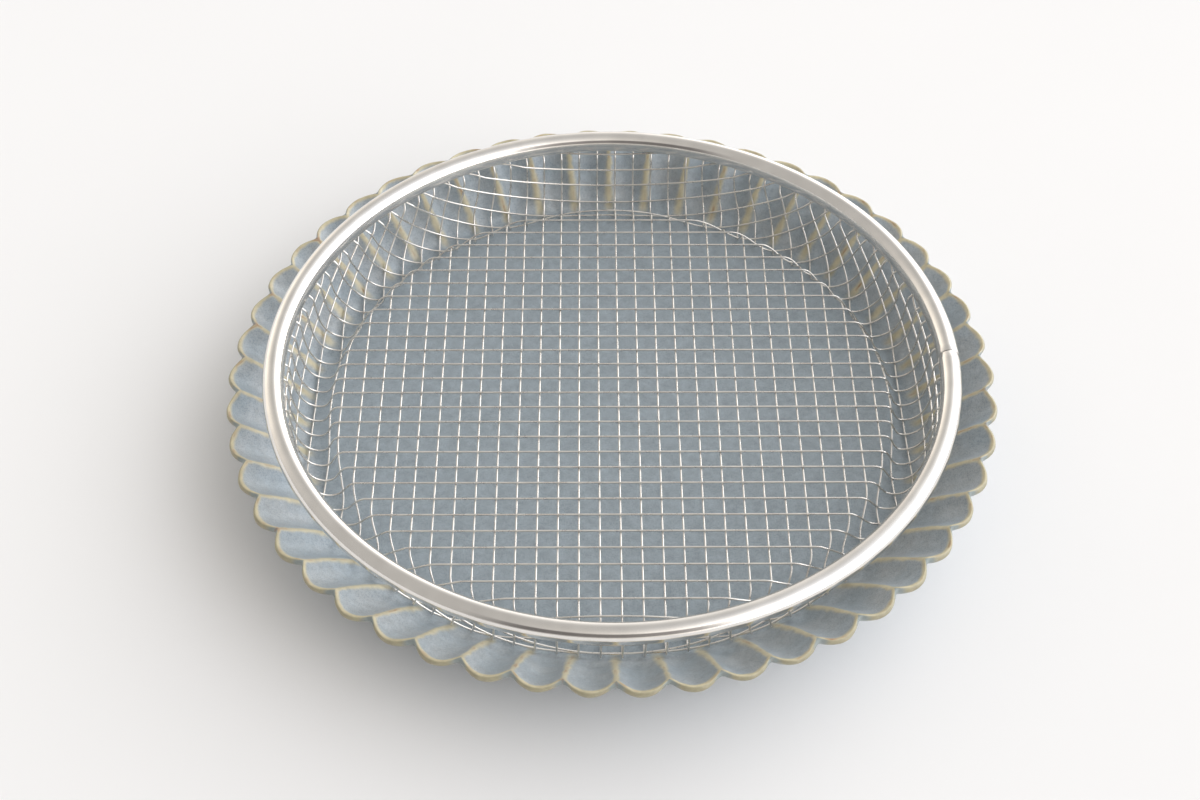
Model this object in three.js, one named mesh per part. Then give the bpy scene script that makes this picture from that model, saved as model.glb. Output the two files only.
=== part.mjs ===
// Strainer plate: a fluted stoneware plate that carries a lift-out strainer of welded steel wire mesh.
// Sizes are in millimetres and +Z is up. The origin is on the table, under the middle of the foot.
import * as THREE from 'three';

// Welded wire mesh of the strainer, pressed into a tray with a ring shaped foot
const WIRE_DIAMETER = 0.63;
const WIRE_PITCH = 6.35;
const WIRE_LAYER_GAP = 0.34; // air between the two layers of crossing wires
const WIRE_EDGE_TRIM = 1.9; // no wire runs along the rim closer than this to its slot
const MESH_FOOT_RADIUS = 94.3; // bottom of the ring shaped groove that the strainer stands on
const MESH_FOOT_DEPTH = 6.5; // the mesh floor stands this far above the bottom of the groove
const MESH_DROP_RUN = 6.7; // across the slope from the mesh floor down to the groove
const MESH_DROP_SHOULDER = 3.5; // how far the floor's edge rolls before it drops
const MESH_DROP_HEEL = 4.2; // how far the drop rounds into the groove
const MESH_WALL_RUN = 8.6; // across the wall, from the groove to its upright top
const MESH_WALL_RISE = 18.3; // groove to the top of the wall
const MESH_WALL_HEEL = 7.1; // how far the groove rounds into the wall
const MESH_WALL_UPRIGHT = 9.2; // upper part of the wall that stands nearly upright
const MESH_WALL_LEAN = 0.35; // how far that upper part leans out
const MESH_FLARE_RUN = 1.95; // the mesh steps out by this to slip behind the rim's skirt
const MESH_FLARE_RISE = 2.9;
const MESH_FLARE_BEND = 1.2; // straight pull at each end of the step
const LINE_SHIFT = 2.16; // the mesh isn't centred: the nearest wire from front to back lies this far from the middle
const CROSS_SHIFT = 0.81; // and so does the nearest wire from left to right

// Rolled steel rim: one strip that is folded over the edge of the mesh and curled into a tube
const RIM_TUBE_DIAMETER = 6.5;
const RIM_STRIP = 0.45;
const RIM_SKIRT_DROP = 2.1; // the skirt inside the mesh ends this far below the tube's centre
const RIM_CLEARANCE = 0.35; // air between the strip and the wires that it grips
const RIM_CURL_END = 95; // degrees past the outermost point at which the curl stops, under the tube
const RIM_SEAM_GAP = 0.3; // butt seam of the strip, on +X
const CORE_WIRE_DIAMETER = 2.4; // stiffening ring inside the curl
const CORE_CLEARANCE = 0.3;
const WIRE_END_DROP = 0.4; // wires stop this far below the centre of the tube, inside the curl

// Stoneware plate with a ring of petals
const PETAL_COUNT = 50;
const PETAL_SHOW = 12.4; // petal tips reach this far past the strainer's rim
const PETAL_NOTCH_DEPTH = 3.7;
const FLUTE_DEPTH = 2.8;
const FLUTE_DEPTH_AT_LIP = 0.9;
const FLUTE_FADE = 0.24; // share of the wall over which the flutes grow out of the floor
const PLATE_FLOOR_MARGIN = 4; // flat floor left outside the strainer's foot
const PLATE_FLOOR_THICKNESS = 5.5;
const PLATE_WALL_RISE = 18.9; // floor to the crest of the lip, before its edge is rounded
const PLATE_WALL_CONE = 0.8; // the straight upper wall, carried down to the floor, takes this share of the rise
const PLATE_WALL_COVE = 4.5; // power of the hollow curve at the foot of the wall
const LIP_THICKNESS = 3.2;
const FOOT_OUTER_RADIUS = 78;
const FOOT_WIDTH = 6;
const FOOT_HEIGHT = 3.5;
const SEAT_CLEARANCE = 0.3; // air between the strainer's foot and the plate

// Fineness of the facets
const RIM_SEGMENTS = 52;
const RIM_CURL_STEPS = 6;
const CORE_SEGMENTS = 40;
const CORE_SIDES = 5;
const PETAL_SEGMENTS = 4;
const WALL_ROWS = [0.15, 0.4, 0.7]; // rows of points up the wall, as shares of its width
const UNDER_ROWS = [0.6, 0.2];
const NET_DIVISIONS = 5; // steps of the net in one pitch
const WIRE_FACET = 0.18; // largest distance from a wire's bend to its facets
const PROFILE_STEPS = 900;
const KNOT_ROUNDS = 12; // rounds that settle a knot of the net

// Sizes that follow from those above
const netStep = WIRE_PITCH / NET_DIVISIONS;
const layerOffset = (WIRE_LAYER_GAP + WIRE_DIAMETER) / 2;
const meshHalfThickness = WIRE_LAYER_GAP / 2 + WIRE_DIAMETER;
const meshFloorRadius = MESH_FOOT_RADIUS - MESH_DROP_RUN;
const meshWallRadius = MESH_FOOT_RADIUS + MESH_WALL_RUN;
const meshWallTop = MESH_WALL_RISE - MESH_FOOT_DEPTH;
const slotRadius = meshWallRadius + MESH_FLARE_RUN;
const slotHeight = meshWallTop + MESH_FLARE_RISE;
const rimTubeRadius = RIM_TUBE_DIAMETER / 2;
const rimInnerRadius = slotRadius - meshHalfThickness - RIM_CLEARANCE - RIM_STRIP;
const rimRadius = rimInnerRadius + rimTubeRadius;
const rimHeight = slotHeight + RIM_CLEARANCE + RIM_SKIRT_DROP;
const wireEndHeight = rimHeight - WIRE_END_DROP;
const coreRadius = slotRadius + meshHalfThickness + CORE_CLEARANCE + CORE_WIRE_DIAMETER / 2;
const plateTipRadius = rimRadius + rimTubeRadius + PETAL_SHOW;
const plateFloorRadius = MESH_FOOT_RADIUS + PLATE_FLOOR_MARGIN;
const plateFloorTop = FOOT_HEIGHT + PLATE_FLOOR_THICKNESS;
const meshFloorHeight = plateFloorTop + SEAT_CLEARANCE + meshHalfThickness + MESH_FOOT_DEPTH;

const glaze = new THREE.MeshStandardMaterial({ color: 0x93a0a5, roughness: 0.45, metalness: 0 });
const rimSteel = new THREE.MeshStandardMaterial({ color: 0xd8d4cf, roughness: 0.15, metalness: 1 });
const wireSteel = new THREE.MeshStandardMaterial({ color: 0xc4c0ba, roughness: 0.25, metalness: 1 });

// A closed solid from its corners and triangles, turned so that its faces point outwards.
function solid(points, triangles) {
  let volume = 0;
  for (const [a, b, c] of triangles) {
    volume += points[a].dot(new THREE.Vector3().crossVectors(points[b], points[c]));
  }
  const outward = volume > 0 ? triangles : triangles.map(([a, b, c]) => [a, c, b]);
  const geometry = new THREE.BufferGeometry().setFromPoints(points);
  geometry.setIndex(outward.flat());
  geometry.computeVertexNormals();
  return geometry;
}

function onRing(radius, height, angle) {
  return new THREE.Vector3(radius * Math.cos(angle), radius * Math.sin(angle), height);
}

// Section of the pressed mesh, from the middle of its floor to inside the rim.
// Beyond the rim's slot it runs on upright, so that the net of wires can be laid out past its edge.
function meshProfile() {
  const floor = meshFloorRadius;
  const foot = MESH_FOOT_RADIUS;
  const depth = -MESH_FOOT_DEPTH;
  const wall = meshWallRadius;
  const path = new THREE.Path();
  path.moveTo(0, 0);
  path.lineTo(floor, 0);
  path.bezierCurveTo(floor + MESH_DROP_SHOULDER, 0, foot - MESH_DROP_HEEL, depth, foot, depth);
  path.bezierCurveTo(
    foot + MESH_WALL_HEEL, depth,
    wall - MESH_WALL_LEAN, meshWallTop - MESH_WALL_UPRIGHT,
    wall, meshWallTop,
  );
  path.bezierCurveTo(
    wall, meshWallTop + MESH_FLARE_BEND,
    slotRadius, slotHeight - MESH_FLARE_BEND,
    slotRadius, slotHeight,
  );
  const slotLength = path.getLength();
  path.lineTo(slotRadius, slotHeight + 2 * WIRE_PITCH);
  const points = path.getSpacedPoints(PROFILE_STEPS);
  const length = path.getLength();
  return { points, length, step: length / PROFILE_STEPS, slotLength };
}

const tray = meshProfile();

// Radius, height and direction of the mesh's section at a distance along it.
function sectionAt(distance) {
  const place = distance / tray.step;
  const index = Math.min(Math.max(Math.floor(place), 0), PROFILE_STEPS - 1);
  const from = tray.points[index];
  const along = tray.points[index + 1].clone().sub(from);
  const at = from.clone().addScaledVector(along, place - index);
  return { radius: at.x, height: at.y, slope: along.divideScalar(tray.step) };
}

// A point of the mesh's middle surface, or of one of its two layers of wire.
function meshPoint(node, offset = 0) {
  const { radius, height, slope } = sectionAt(node.distance);
  return onRing(radius - slope.y * offset, height + slope.x * offset, node.angle);
}

function meshNormal(node) {
  const { slope } = sectionAt(node.distance);
  return onRing(-slope.y, slope.x, node.angle);
}

// The knot that lies one net step from each of its two neighbours, as in mesh that shears at its
// crossings but doesn't stretch. The start is the fourth corner of the lozenge on them and the knot between.
function nextKnot(first, second, between) {
  const a = meshPoint(first);
  const b = meshPoint(second);
  const knot = {
    distance: first.distance + second.distance - between.distance,
    angle: first.angle + second.angle - between.angle,
  };
  for (let round = 0; round < KNOT_ROUNDS; round += 1) {
    const { radius, slope } = sectionAt(knot.distance);
    const outward = onRing(slope.x, slope.y, knot.angle);
    const around = new THREE.Vector3(-radius * Math.sin(knot.angle), radius * Math.cos(knot.angle), 0);
    const toA = meshPoint(knot).sub(a);
    const toB = meshPoint(knot).sub(b);
    const missA = (toA.lengthSq() - netStep * netStep) / 2;
    const missB = (toB.lengthSq() - netStep * netStep) / 2;
    const [oa, ra, ob, rb] = [toA.dot(outward), toA.dot(around), toB.dot(outward), toB.dot(around)];
    const size = oa * rb - ra * ob;
    knot.distance -= (missA * rb - missB * ra) / size;
    knot.angle -= (missB * oa - missA * ob) / size;
  }
  return knot;
}

function flatKnot(u, v) {
  return { distance: Math.hypot(u, v) * netStep, angle: Math.atan2(v, u) };
}

// A quarter of the mesh as a net of squares, laid on the tray without stretching a wire.
function quarterNet() {
  const count = Math.floor(tray.length / netStep);
  const knots = [];
  for (let u = 0; u <= count; u += 1) {
    knots.push([]);
    for (let v = 0; v <= count; v += 1) {
      const flat = flatKnot(u, v);
      if (flat.distance <= meshFloorRadius || u === 0 || v === 0) {
        knots[u].push(flat);
        continue;
      }
      const corners = [knots[u - 1][v], knots[u][v - 1], knots[u - 1][v - 1]];
      const beyond = corners.some((corner) => !corner || corner.distance > tray.length - 2 * netStep);
      knots[u].push(beyond ? null : nextKnot(...corners));
    }
  }
  return knots;
}

const net = quarterNet();

// A place on the whole mesh, mirrored from the quarter that was laid out. One of the two counts
// may lie between two lines of the net.
function knotAt(u, v) {
  const [across, along] = [Math.abs(u), Math.abs(v)];
  let knot = flatKnot(across, along);
  if (knot.distance > meshFloorRadius) {
    const [column, row] = [Math.floor(across), Math.floor(along)];
    const from = net[column]?.[row];
    const to = net[Math.ceil(across)]?.[Math.ceil(along)];
    if (!from || !to) {
      return null;
    }
    const share = across - column + along - row;
    knot = {
      distance: THREE.MathUtils.lerp(from.distance, to.distance, share),
      angle: THREE.MathUtils.lerp(from.angle, to.angle, share),
    };
  }
  const side = u < 0 ? Math.PI - knot.angle : knot.angle;
  return { distance: knot.distance, angle: v < 0 ? -side : side };
}

// Half of one wire, from the mesh's middle line to the slot in the rim, where it is cut off.
function halfWire(line, towards, across) {
  const knots = [];
  for (let step = 0; ; step += 1) {
    const knot = across ? knotAt(step * towards, line) : knotAt(line, step * towards);
    const last = knots.at(-1);
    if (!knot) {
      return knots;
    }
    if (knot.distance >= tray.slotLength) {
      const share = (tray.slotLength - last.distance) / (knot.distance - last.distance);
      const turn = Math.atan2(Math.sin(knot.angle - last.angle), Math.cos(knot.angle - last.angle));
      knots.push({ distance: tray.slotLength, angle: last.angle + share * turn });
      return knots;
    }
    knots.push(knot);
  }
}

// Places along one wire, with its two ends turned straight up into the rim.
function wireKnots(line, across) {
  const end = tray.slotLength + wireEndHeight - slotHeight;
  const halves = [-1, 1].map((towards) => {
    const knots = halfWire(line, towards, across);
    return [...knots, { distance: end, angle: knots.at(-1).angle }];
  });
  return [...halves[0].reverse(), ...halves[1].slice(1)];
}

// Places along the rim from the end of one wire to the end of the next.
function rimBridge(from, to) {
  const turn = Math.atan2(Math.sin(to.angle - from.angle), Math.cos(to.angle - from.angle));
  const steps = Math.max(2, Math.ceil(Math.abs(turn) / (Math.PI / RIM_SEGMENTS)));
  const places = [];
  for (let step = 1; step < steps; step += 1) {
    places.push({ distance: from.distance, angle: from.angle + (turn * step) / steps });
  }
  return places;
}

// Keeps only the points that a polyline needs to stay within WIRE_FACET of its shape.
function neededPoints(points, first = 0, last = points.length - 1) {
  const chord = new THREE.Line3(points[first], points[last]);
  let farthest = first;
  let miss = 0;
  for (let index = first + 1; index < last; index += 1) {
    const nearest = chord.closestPointToPoint(points[index], true, new THREE.Vector3());
    const distance = nearest.distanceTo(points[index]);
    if (distance > miss) {
      farthest = index;
      miss = distance;
    }
  }
  if (miss <= WIRE_FACET) {
    return [first, last];
  }
  return [...neededPoints(points, first, farthest), ...neededPoints(points, farthest, last).slice(1)];
}

// A wire along a route on one layer of the mesh. Its section is a triangle with the round wire's
// height and area, and its flat side faces the other layer.
function wireSolid(route, layer) {
  const middle = route.map((node) => meshPoint(node, layer * layerOffset));
  const kept = neededPoints(middle);
  const halfWidth = (Math.PI / 4) * WIRE_DIAMETER;
  const points = [];
  kept.forEach((at, order) => {
    const here = middle[at];
    const before = middle[kept[Math.max(order - 1, 0)]];
    const after = middle[kept[Math.min(order + 1, kept.length - 1)]];
    const arriving = here.clone().sub(before).normalize();
    const leaving = after.clone().sub(here).normalize();
    const along = arriving.clone().add(leaving).normalize();
    const mitre = 1 / Math.max(along.dot(arriving), along.dot(leaving));
    const outer = meshNormal(route[at]).multiplyScalar(layer);
    outer.addScaledVector(along, -outer.dot(along)).normalize();
    const side = new THREE.Vector3().crossVectors(along, outer).multiplyScalar(mitre * halfWidth);
    const base = here.clone().addScaledVector(outer, -WIRE_DIAMETER / 2);
    points.push(base.clone().add(side), base.clone().sub(side));
    points.push(here.clone().addScaledVector(outer, WIRE_DIAMETER / 2));
  });
  const triangles = [[0, 1, 2]];
  for (let start = 0; start + 3 < points.length; start += 3) {
    for (let corner = 0; corner < 3; corner += 1) {
      const a = start + corner;
      const b = start + ((corner + 1) % 3);
      triangles.push([a, a + 3, b], [b, a + 3, b + 3]);
    }
  }
  const end = points.length - 3;
  triangles.push([end, end + 2, end + 1]);
  return solid(points, triangles);
}

// Neighbouring wires as one piece, joined to and fro by short bridges that are hidden in the rim.
function joinedWires(name, places, across, layer) {
  const route = [];
  places.forEach((place, order) => {
    const wire = wireKnots(place / netStep, across);
    if (order % 2 === 1) {
      wire.reverse();
    }
    if (order > 0) {
      route.push(...rimBridge(route.at(-1), wire[0]));
    }
    route.push(...wire);
  });
  const mesh = new THREE.Mesh(wireSolid(route, layer), wireSteel);
  mesh.name = name;
  return mesh;
}

// The wires to one side of the mesh's middle, from the middle outwards. Those that cross the floor
// are taken in twos. An odd one left over joins the wires that only run along the wall.
function wiresToSide(name, places, across, layer) {
  const crossing = places.filter((place) => Math.abs(place) < meshFloorRadius);
  const pairs = Math.floor(crossing.length / 2);
  const group = new THREE.Group();
  for (let pair = 0; pair < pairs; pair += 1) {
    const number = String(pair + 1).padStart(2, '0');
    group.add(joinedWires(`${name}_${number}`, places.slice(2 * pair, 2 * pair + 2), across, layer));
  }
  group.add(joinedWires(`${name}_edge`, places.slice(2 * pairs), across, layer));
  return group;
}

// All the wires of one direction. A wire that would lie close to the rim's slot is trimmed off with
// the mesh's edge.
function wireLayer(name, [low, high], shift, across, layer) {
  const reach = tray.slotLength - WIRE_EDGE_TRIM;
  const sides = { [low]: [], [high]: [] };
  const most = Math.ceil(reach / WIRE_PITCH);
  for (let index = -most; index <= most; index += 1) {
    const place = index * WIRE_PITCH + shift;
    if (Math.abs(place) < reach) {
      sides[place < 0 ? low : high].push(place);
    }
  }
  sides[low].reverse();
  const group = new THREE.Group();
  for (const [side, places] of Object.entries(sides)) {
    group.add(wiresToSide(`${name}_${side}`, places, across, layer));
  }
  return group;
}

// A section swept round the axis. A sweep of less than a full turn is closed by two end faces.
function ringSolid(section, segments, start, sweep) {
  const whole = sweep === 2 * Math.PI;
  const rings = whole ? segments : segments + 1;
  const sides = section.length;
  const points = [];
  for (let ring = 0; ring < rings; ring += 1) {
    const angle = start + (sweep * ring) / segments;
    section.forEach((corner) => points.push(onRing(corner.x, corner.y, angle)));
  }
  const triangles = [];
  for (let ring = 0; ring < segments; ring += 1) {
    const here = ring * sides;
    const next = ((ring + 1) % rings) * sides;
    for (let side = 0; side < sides; side += 1) {
      const beside = (side + 1) % sides;
      triangles.push([here + side, next + side, here + beside]);
      triangles.push([here + beside, next + side, next + beside]);
    }
  }
  if (!whole) {
    const last = segments * sides;
    for (const [a, b, c] of THREE.ShapeUtils.triangulateShape(section, [])) {
      const [x, y, z] = THREE.ShapeUtils.isClockWise(section) ? [a, c, b] : [a, b, c];
      triangles.push([x, y, z], [last + x, last + z, last + y]);
    }
  }
  return solid(points, triangles);
}

// The strip: a skirt inside the mesh, then a curl over the top, down outside and in below.
function rimBand() {
  const curlFrom = Math.PI;
  const curlTo = -THREE.MathUtils.degToRad(RIM_CURL_END);
  const face = (radius) => {
    const line = [new THREE.Vector2(rimRadius - radius, rimHeight - RIM_SKIRT_DROP)];
    for (let step = 0; step <= RIM_CURL_STEPS; step += 1) {
      const angle = curlFrom + ((curlTo - curlFrom) * step) / RIM_CURL_STEPS;
      line.push(new THREE.Vector2(
        rimRadius + radius * Math.cos(angle),
        rimHeight + radius * Math.sin(angle),
      ));
    }
    return line;
  };
  const section = [...face(rimTubeRadius), ...face(rimTubeRadius - RIM_STRIP).reverse()];
  const seam = RIM_SEAM_GAP / rimRadius;
  const mesh = new THREE.Mesh(ringSolid(section, RIM_SEGMENTS, seam / 2, 2 * Math.PI - seam), rimSteel);
  mesh.name = 'rim_band';
  return mesh;
}

function rimCoreRing() {
  const section = [];
  for (let side = 0; side < CORE_SIDES; side += 1) {
    const angle = Math.PI + (2 * Math.PI * side) / CORE_SIDES;
    section.push(new THREE.Vector2(
      coreRadius + (CORE_WIRE_DIAMETER / 2) * Math.cos(angle),
      rimHeight + (CORE_WIRE_DIAMETER / 2) * Math.sin(angle),
    ));
  }
  const mesh = new THREE.Mesh(ringSolid(section, CORE_SEGMENTS, 0, 2 * Math.PI), wireSteel);
  mesh.name = 'rim_core_ring';
  return mesh;
}

// Place across a petal: 0 in its middle, 1 on the ridge to either side. A ridge lies on -Y.
function acrossPetal(angle) {
  const turns = ((angle + Math.PI / 2) * PETAL_COUNT) / (2 * Math.PI);
  return Math.abs(2 * (turns - Math.floor(turns)) - 1);
}

function petalEdgeRadius(angle) {
  return plateTipRadius - PETAL_NOTCH_DEPTH * acrossPetal(angle) ** 2;
}

// Top of the fluted wall: share 0 is the edge of the floor and share 1 the crest of the lip.
function wallTop(share, angle) {
  const radius = THREE.MathUtils.lerp(plateFloorRadius, petalEdgeRadius(angle), share);
  const below = PLATE_WALL_CONE * (1 - share) + (1 - PLATE_WALL_CONE) * (1 - share) ** PLATE_WALL_COVE;
  const rise = PLATE_WALL_RISE * (1 - below);
  const depth = THREE.MathUtils.lerp(FLUTE_DEPTH, FLUTE_DEPTH_AT_LIP, share ** 2);
  const grown = THREE.MathUtils.smoothstep(share, 0, FLUTE_FADE);
  const dip = depth * grown * Math.cos((acrossPetal(angle) * Math.PI) / 2);
  return onRing(radius, plateFloorTop + rise - dip, angle);
}

// Underside of the wall, which thins from the floor's thickness to the lip's.
function wallUnder(share, angle) {
  const thickness = THREE.MathUtils.lerp(PLATE_FLOOR_THICKNESS, LIP_THICKNESS, share);
  const point = wallTop(share, angle);
  point.z -= thickness;
  return point;
}

function ringOf(count, place) {
  return Array.from({ length: count }, (_, index) => place((2 * Math.PI * index) / count - Math.PI / 2));
}

// The band between two rings of points, the finer one holding a whole number of the coarser's steps.
function bandBetween(inner, outer) {
  const count = Math.max(inner.length, outer.length);
  const at = (ring, step) => ring[Math.floor((step * ring.length) / count) % ring.length];
  const triangles = [];
  for (let step = 0; step < count; step += 1) {
    const [a, b] = [at(inner, step), at(inner, step + 1)];
    const [c, d] = [at(outer, step), at(outer, step + 1)];
    if (a !== b) {
      triangles.push([a, c, b]);
    }
    if (c !== d) {
      triangles.push([b, c, d]);
    }
  }
  return triangles;
}

function ceramicPlate() {
  const fine = PETAL_COUNT * PETAL_SEGMENTS;
  const footInner = FOOT_OUTER_RADIUS - FOOT_WIDTH;
  const plain = (radius, height) => ringOf(PETAL_COUNT, (angle) => onRing(radius, height, angle));
  const top = (share) => ringOf(fine, (angle) => wallTop(share, angle));
  const under = (share) => ringOf(fine, (angle) => wallUnder(share, angle));
  const lipSide = ringOf(fine, (angle) => {
    const crest = wallTop(1, angle);
    return onRing(petalEdgeRadius(angle), crest.z - LIP_THICKNESS / 2, angle);
  });
  const lipInset = 1 - LIP_THICKNESS / 2 / (plateTipRadius - plateFloorRadius);
  const rings = [
    plain(plateFloorRadius, plateFloorTop),
    ...WALL_ROWS.map(top),
    top(lipInset),
    lipSide,
    under(lipInset),
    ...UNDER_ROWS.map(under),
    plain(plateFloorRadius, FOOT_HEIGHT),
    plain(FOOT_OUTER_RADIUS, FOOT_HEIGHT),
    plain(FOOT_OUTER_RADIUS, 0),
    plain(footInner, 0),
    plain(footInner, FOOT_HEIGHT),
  ];
  const points = [onRing(0, plateFloorTop, 0), onRing(0, FOOT_HEIGHT, 0)];
  const numbered = rings.map((ring) => ring.map((point) => points.push(point) - 1));
  const triangles = [];
  numbered.slice(1).forEach((ring, index) => triangles.push(...bandBetween(numbered[index], ring)));
  const closeDisc = (ring, centre, turned) => ring.forEach((corner, index) => {
    const next = ring[(index + 1) % ring.length];
    triangles.push(turned ? [centre, next, corner] : [centre, corner, next]);
  });
  closeDisc(numbered[0], 0, false);
  closeDisc(numbered.at(-1), 1, true);
  const mesh = new THREE.Mesh(solid(points, triangles), glaze);
  mesh.name = 'ceramic_plate';
  return mesh;
}

const strainer = new THREE.Group();
strainer.position.z = meshFloorHeight;
strainer.add(rimBand());
strainer.add(rimCoreRing());
strainer.add(wireLayer('line_wires', ['left', 'right'], LINE_SHIFT, false, -1));
strainer.add(wireLayer('cross_wires', ['front', 'back'], CROSS_SHIFT, true, 1));

const strainerPlate = new THREE.Group();
strainerPlate.add(ceramicPlate());
strainerPlate.add(strainer);

export default strainerPlate;
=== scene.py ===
"""Strainer plate: a fluted stoneware plate that carries a lift-out strainer of welded wire mesh.

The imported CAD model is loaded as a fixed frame. Each operator models one piece, or one group of
like pieces, in that frame, and the last one sets the stage. All lengths are in metres.
"""
import math

import bmesh
import bpy
import numpy as np
from bpy.props import FloatProperty, FloatVectorProperty, IntProperty, PointerProperty
from bpy.types import Operator, Panel, PropertyGroup
from mathutils import Matrix, Vector


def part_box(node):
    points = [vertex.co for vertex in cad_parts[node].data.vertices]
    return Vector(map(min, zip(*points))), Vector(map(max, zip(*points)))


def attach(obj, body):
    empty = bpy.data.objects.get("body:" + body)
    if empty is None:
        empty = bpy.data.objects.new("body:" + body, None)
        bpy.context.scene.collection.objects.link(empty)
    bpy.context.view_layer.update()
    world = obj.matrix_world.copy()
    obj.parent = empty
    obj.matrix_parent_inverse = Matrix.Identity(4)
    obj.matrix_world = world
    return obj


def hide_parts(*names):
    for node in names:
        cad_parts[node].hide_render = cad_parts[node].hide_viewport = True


bl_info = {
    "name": "Strainer Plate",
    "version": (1, 0, 0),
    "blender": (4, 5, 0),
    "location": "3D View > Sidebar > Strainer Plate",
    "description": "Models a fluted stoneware plate with a welded wire strainer",
    "category": "Add Mesh",
}

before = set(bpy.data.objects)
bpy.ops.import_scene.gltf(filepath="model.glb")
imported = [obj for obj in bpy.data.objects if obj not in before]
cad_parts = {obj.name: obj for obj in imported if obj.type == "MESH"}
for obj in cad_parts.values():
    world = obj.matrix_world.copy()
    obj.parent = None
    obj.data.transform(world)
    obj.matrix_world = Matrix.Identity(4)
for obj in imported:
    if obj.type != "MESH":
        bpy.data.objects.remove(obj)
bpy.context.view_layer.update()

MM = 0.001
rim_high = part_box("rim_band")[1]
core_low, core_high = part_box("rim_core_ring")
plate_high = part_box("ceramic_plate")[1]

# The plate's floor and underside are closed by a flat disc inside this radius
FLOOR_DISC = 60 * MM

# Half a petal is lofted in so many strips
PETAL_STRIPS = 4

# Opening of the rim's curl, in degrees round its section, and the moves that draw the skirt below it. They
# add up to the length, which is then scaled to the skirt's own
CURL_OPENING = (182, 263)
SKIRT_MOVES = ((0, 0, -0.5), (0, 0, -0.45), (0, 0, -0.3), (0.08, 0, -0.35))
SKIRT_LENGTH = 1.6

# Soft lights of the room: direction, sharpness, strength and colour
ROOM_LIGHTS = (
    ((0.988, 0, 0.156), 2.0, 1.55, "#e8f0ff"),  # cool sky light, broad, from the right
    ((0.61, 0.78, 0.139), 8.0, 3.4, "#fffdf9"),  # the brightest window, at the back right
    ((0.72, -0.604, 0.342), 4.0, 1.58, "#fff6ea"),  # warm light from the front right
    ((0.919, -0.334, 0.208), 8.0, 0.7, "#e8f0ff"),  # a cool window, right and a little to the front
    ((-0.675, 0.724, 0.139), 10.0, 0.95, "#fff3e2"),  # a warm pale wall at the back left
)


def linear(code):
    """An sRGB hex colour as linear values, with full alpha."""
    values = [int(code[at:at + 2], 16) / 255 for at in (1, 3, 5)]
    return (*[v / 12.92 if v <= 0.04045 else ((v + 0.055) / 1.055) ** 2.4 for v in values], 1.0)


def length(name, description, default):
    return FloatProperty(name=name, description=description, default=default, unit="LENGTH", precision=5)


def colour(name, description, code):
    return FloatVectorProperty(
        name=name, description=description, default=linear(code), size=4, min=0, max=1, subtype="COLOR")


class PlateSettings(PropertyGroup):
    """Sizes and colours of the stoneware plate."""

    petals: IntProperty(name="Petals", description="Flutes round the wall", default=50, min=8)
    floor_radius: length("Floor radius", "Edge of the flat floor", 98.3 * MM)
    floor_top: length("Floor top", "Height of the floor above the table", 9 * MM)
    tip_radius: length("Tip radius", "Reach of the petal tips", plate_high.x)
    wall_rise: length("Wall rise", "Floor to the crest of the lip, before its edge is rounded", 18.9 * MM)
    wall_cone: FloatProperty(
        name="Wall cone",
        description="Share of the rise that the straight upper wall takes, carried down to the floor",
        default=0.8, subtype="FACTOR", min=0, max=1)
    wall_cove: FloatProperty(
        name="Wall cove", description="Power of the hollow curve at the foot of the wall", default=4.5, min=1)
    notch_depth: length("Notch depth", "How far the edge steps in between two petals", 3.7 * MM)
    flute_depth: length("Flute depth", "Hollow of a petal below its ridges", 2.8 * MM)
    flute_depth_at_lip: length("Flute depth at lip", "Hollow of a petal at its tip", 0.9 * MM)
    flute_fade: FloatProperty(
        name="Flute fade", description="Share of the wall over which the flutes grow out of the floor",
        default=0.24, subtype="FACTOR", min=0.01, max=1)
    floor_thickness: length("Floor thickness", "Stoneware under the floor", 5.5 * MM)
    lip_thickness: length("Lip thickness", "Stoneware at the lip", 3.2 * MM)
    foot_radius: length("Foot radius", "Outside of the foot ring", 78 * MM)
    foot_width: length("Foot width", "Across the foot ring", 6 * MM)
    unevenness: length("Unevenness", "How far hand work bends the wall", 0.7 * MM)
    glaze: colour("Glaze", "Satin glaze where it lies thick", "#9da8af")
    glaze_thin: colour("Thin glaze", "Paler patches on the wall", "#a9afb2")
    glaze_break: colour("Glaze break", "Ridges and crest, where the glaze runs thin", "#c7be9f")
    lip_edge: colour("Lip edge", "Outer face of the lip", "#98927a")
    # Blue-grey glaze on the lip at the notches, darkened with painted shade
    notch_glaze_and_shade: colour("Lip at notch", "Thick glaze that gathers in the notches", "#7d898c")
    speckle: colour("Speckle", "Fine grains in the glaze", "#7e8b96")
    iron: colour("Iron", "Iron that bleeds through along ridges and lip", "#8f5a38")
    clay: colour("Clay", "Bare stoneware under the foot", "#b7a184")


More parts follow.
